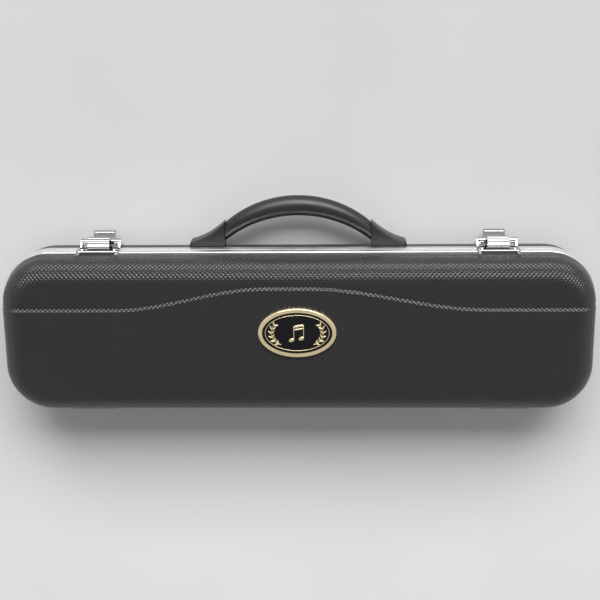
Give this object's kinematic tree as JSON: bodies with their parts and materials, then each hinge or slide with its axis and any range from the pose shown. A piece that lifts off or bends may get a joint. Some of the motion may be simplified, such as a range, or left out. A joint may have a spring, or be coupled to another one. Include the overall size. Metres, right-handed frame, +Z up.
{
  "type": "flute case",
  "caption": "Hard flute case: moulded halves with metal edge frames, two draw latches, an arched carrying handle, hinges and a pocketed plush insert.",
  "frame": {"origin": "centre of the base's flat resting face", "axes": "+X along the case, +Y towards the hinges, -Y towards the latches and handle, +Z up through the closed lid"},
  "size_m": [0.42, 0.1548, 0.0662],
  "materials": {
    "moulded_shell": "embossed satin",
    "valance_metal": "bright anodised",
    "foam": "soft foam",
    "plush": "short pile",
    "handle_plastic": "satin",
    "badge_rim": "polished pale gold",
    "badge_field": "gloss enamel",
    "pin_steel": "plated",
    "bright_fittings": "bright plated"
  },
  "bodies": {
    "base": {"base_shell": "moulded_shell", "base_valance": "valance_metal", "insert_foam": "foam", "insert_lining": "plush", "handle_boot_left": "handle_plastic", "boot_screws_left": "pin_steel", "latch_plate_left": "bright_fittings", "latch_rivets_left": "bright_fittings", "latch_pivot_pin_left": "pin_steel", "hinge_base_leaf_left": "bright_fittings", "hinge_pin_left": "pin_steel", "hinge_base_rivets_left": "bright_fittings", "handle_boot_right": "handle_plastic", "boot_screws_right": "pin_steel", "latch_plate_right": "bright_fittings", "latch_rivets_right": "bright_fittings", "latch_pivot_pin_right": "pin_steel", "hinge_base_leaf_right": "bright_fittings", "hinge_pin_right": "pin_steel", "hinge_base_rivets_right": "bright_fittings"},
    "lid": {"lid_shell": "moulded_shell", "lid_valance": "valance_metal", "lid_pad": "foam", "lid_pad_lining": "plush", "badge_bezel": "badge_rim", "badge_inlay": "badge_field", "strike_left": "bright_fittings", "strike_rivets_left": "bright_fittings", "hinge_lid_leaf_left": "bright_fittings", "hinge_lid_rivets_left": "bright_fittings", "strike_right": "bright_fittings", "strike_rivets_right": "bright_fittings", "hinge_lid_leaf_right": "bright_fittings", "hinge_lid_rivets_right": "bright_fittings"},
    "handle": {"handle_grip": "handle_plastic"},
    "lever_left": {"lever_left": "bright_fittings", "claw_pin_left": "pin_steel"},
    "claw_left": {"claw_left": "bright_fittings"},
    "lever_right": {"lever_right": "bright_fittings", "claw_pin_right": "pin_steel"},
    "claw_right": {"claw_right": "bright_fittings"}
  },
  "joints": [
    {"name": "lid_hinge", "type": "hinge", "parent": "base", "child": "lid", "pos_m": [0, 0.0602, 0.032], "axis": [-1, 0, 0], "range_deg": [0, 100]},
    {"name": "handle_pivot", "type": "hinge", "parent": "base", "child": "handle", "pos_m": [0, -0.0654, 0.0165], "axis": [-1, 0, 0], "range_deg": [-85, 85]},
    {"name": "lever_left_pivot", "type": "hinge", "parent": "base", "child": "lever_left", "pos_m": [-0.141, -0.0612, 0.024], "axis": [-1, 0, 0], "range_deg": [0, 100]},
    {"name": "claw_left_pivot", "type": "hinge", "parent": "lever_left", "child": "claw_left", "pos_m": [-0.141, -0.06016, 0.01809], "axis": [-1, 0, 0], "range_deg": [-115, 0]},
    {"name": "lever_right_pivot", "type": "hinge", "parent": "base", "child": "lever_right", "pos_m": [0.141, -0.0612, 0.024], "axis": [-1, 0, 0], "range_deg": [0, 100]},
    {"name": "claw_right_pivot", "type": "hinge", "parent": "lever_right", "child": "claw_right", "pos_m": [0.141, -0.06016, 0.01809], "axis": [-1, 0, 0], "range_deg": [-115, 0]}
  ],
  "couplings": [
    {"joint": "claw_left_pivot", "follows": "lever_left_pivot", "ratio": -1.15},
    {"joint": "claw_right_pivot", "follows": "lever_right_pivot", "ratio": -1.15}
  ]
}
